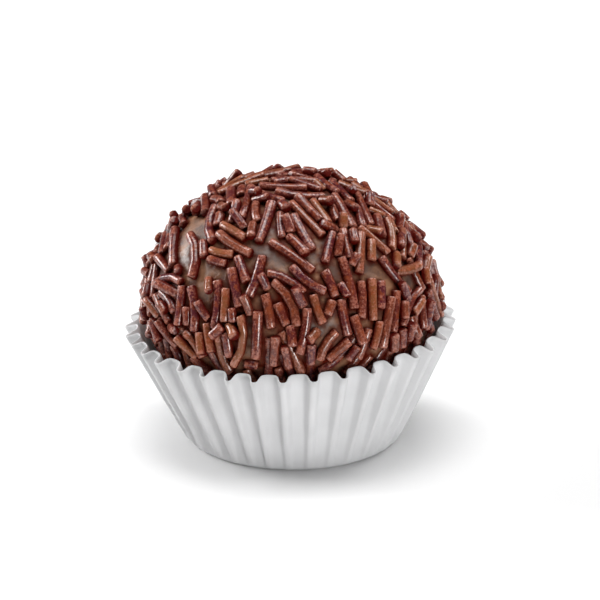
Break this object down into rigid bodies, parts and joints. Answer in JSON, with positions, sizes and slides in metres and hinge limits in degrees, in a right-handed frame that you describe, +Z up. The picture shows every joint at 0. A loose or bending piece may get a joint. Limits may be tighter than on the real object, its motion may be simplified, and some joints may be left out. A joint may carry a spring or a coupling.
{
  "type": "brigadeiro",
  "caption": "Chocolate fudge ball rolled in chocolate sprinkles, sitting in a pleated white paper case.",
  "frame": {"origin": "centre of the paper case's flat round base, on the surface it stands on", "axes": "+Z up through the ball; -Y is the front; the case is round, so the front is only the side that was modelled from sight"},
  "size_m": [0.0373, 0.0371, 0.0304],
  "materials": {
    "sprinkled_fudge": "chocolate sprinkles pressed into soft fudge, satin, reddish dark brown",
    "fudge": "cooked milk and cocoa fudge, soft sheen, greyish brown",
    "sprinkles": "extruded chocolate sprinkles, satin, mottled reddish brown",
    "paper": "white greaseproof paper, pleated, matte"
  },
  "bodies": {
    "root": {"fudge_ball": "sprinkled_fudge", "paper_case": "paper"}
  },
  "joints": []
}
